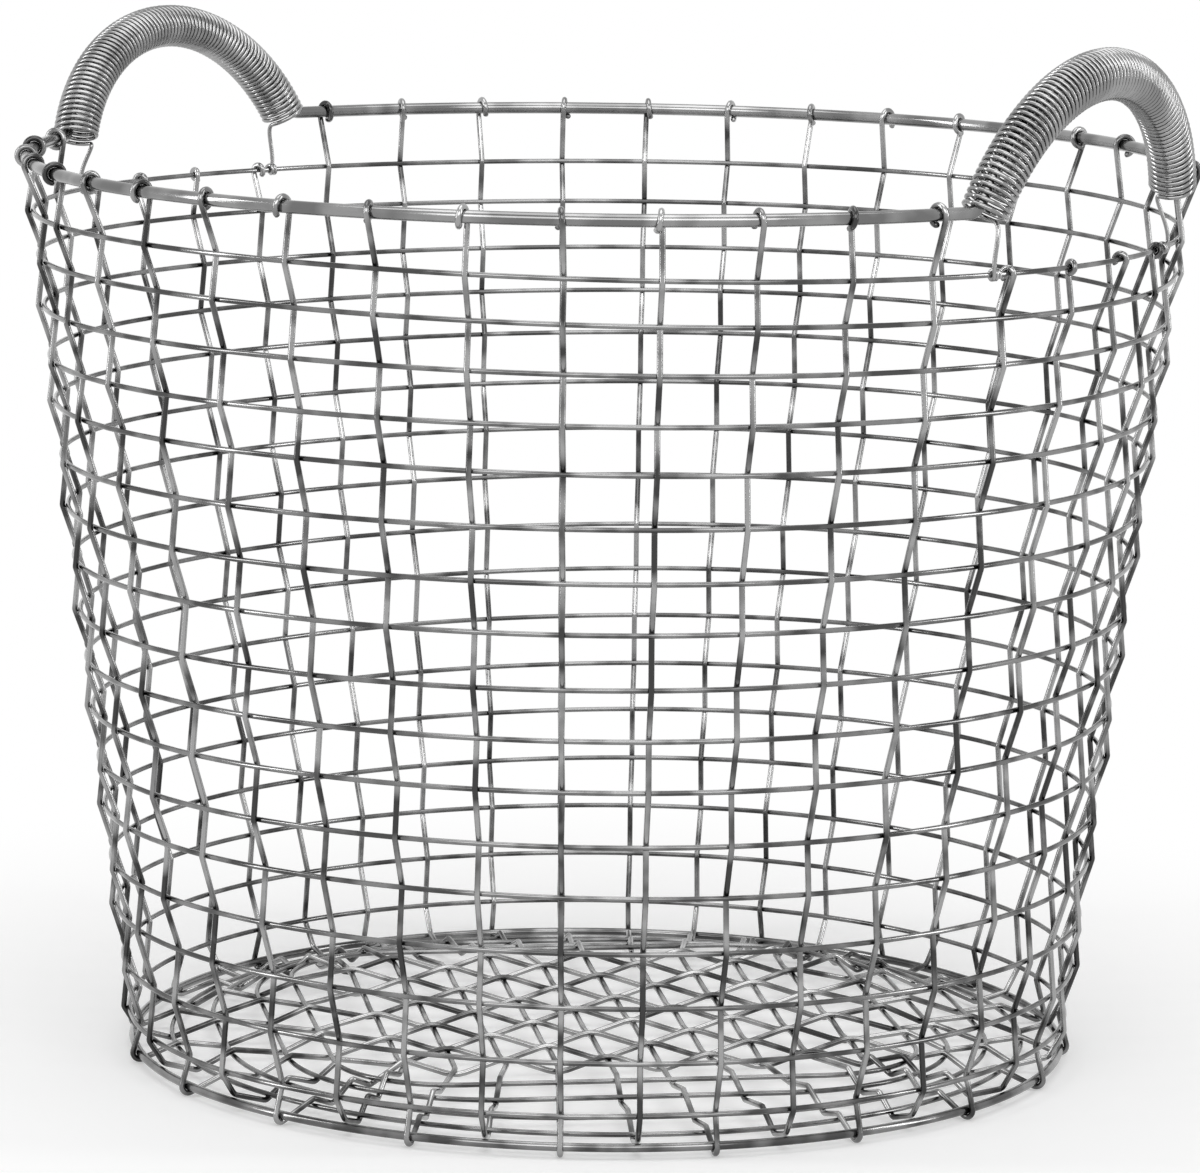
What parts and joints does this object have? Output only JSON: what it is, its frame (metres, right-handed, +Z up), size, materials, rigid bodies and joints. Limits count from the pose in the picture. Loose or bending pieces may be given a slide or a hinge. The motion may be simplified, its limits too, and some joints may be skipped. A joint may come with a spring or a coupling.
{
  "type": "wire basket",
  "caption": "Round tapered open basket woven from bright steel wire, with a hooked rim and a raised, wire-wound handle on each side.",
  "frame": {"origin": "centre of the basket on the surface that it stands on", "axes": "+Z up, X through the two handles, Y across them"},
  "size_m": [0.4122, 0.4074, 0.3582],
  "materials": {
    "rim_steel": "bright drawn wire",
    "coil_steel": "bright drawn wire, close wound",
    "stake_steel": "bright drawn wire",
    "hoop_steel": "bright drawn wire"
  },
  "bodies": {
    "root": {"rim_wire": "rim_steel", "handle_coil_right": "coil_steel", "handle_coil_left": "coil_steel", "wall_hoop_01": "hoop_steel", "wall_hoop_02": "hoop_steel", "wall_hoop_03": "hoop_steel", "wall_hoop_04": "hoop_steel", "wall_hoop_05": "hoop_steel", "wall_hoop_06": "hoop_steel", "wall_hoop_07": "hoop_steel", "wall_hoop_08": "hoop_steel", "wall_hoop_09": "hoop_steel", "wall_hoop_10": "hoop_steel", "wall_hoop_11": "hoop_steel", "wall_hoop_12": "hoop_steel", "wall_hoop_13": "hoop_steel", "wall_hoop_14": "hoop_steel", "wall_hoop_15": "hoop_steel", "wall_hoop_16": "hoop_steel", "wall_hoop_17": "hoop_steel", "bottom_hoop": "hoop_steel", "base_ring_1": "hoop_steel", "base_ring_2": "hoop_steel", "base_ring_3": "hoop_steel", "base_ring_4": "hoop_steel", "stake_wire_a01": "stake_steel", "stake_wire_a02": "stake_steel", "stake_wire_a03": "stake_steel", "stake_wire_a04": "stake_steel", "stake_wire_a05": "stake_steel", "stake_wire_a06": "stake_steel", "stake_wire_a07": "stake_steel", "stake_wire_a08": "stake_steel", "stake_wire_a09": "stake_steel", "stake_wire_a10": "stake_steel", "stake_wire_b01": "stake_steel", "stake_wire_b02": "stake_steel", "stake_wire_b03": "stake_steel", "stake_wire_b04": "stake_steel", "stake_wire_b05": "stake_steel", "stake_wire_b06": "stake_steel", "stake_wire_b07": "stake_steel", "stake_wire_b08": "stake_steel", "stake_wire_b09": "stake_steel", "stake_wire_b10": "stake_steel"}
  },
  "joints": []
}
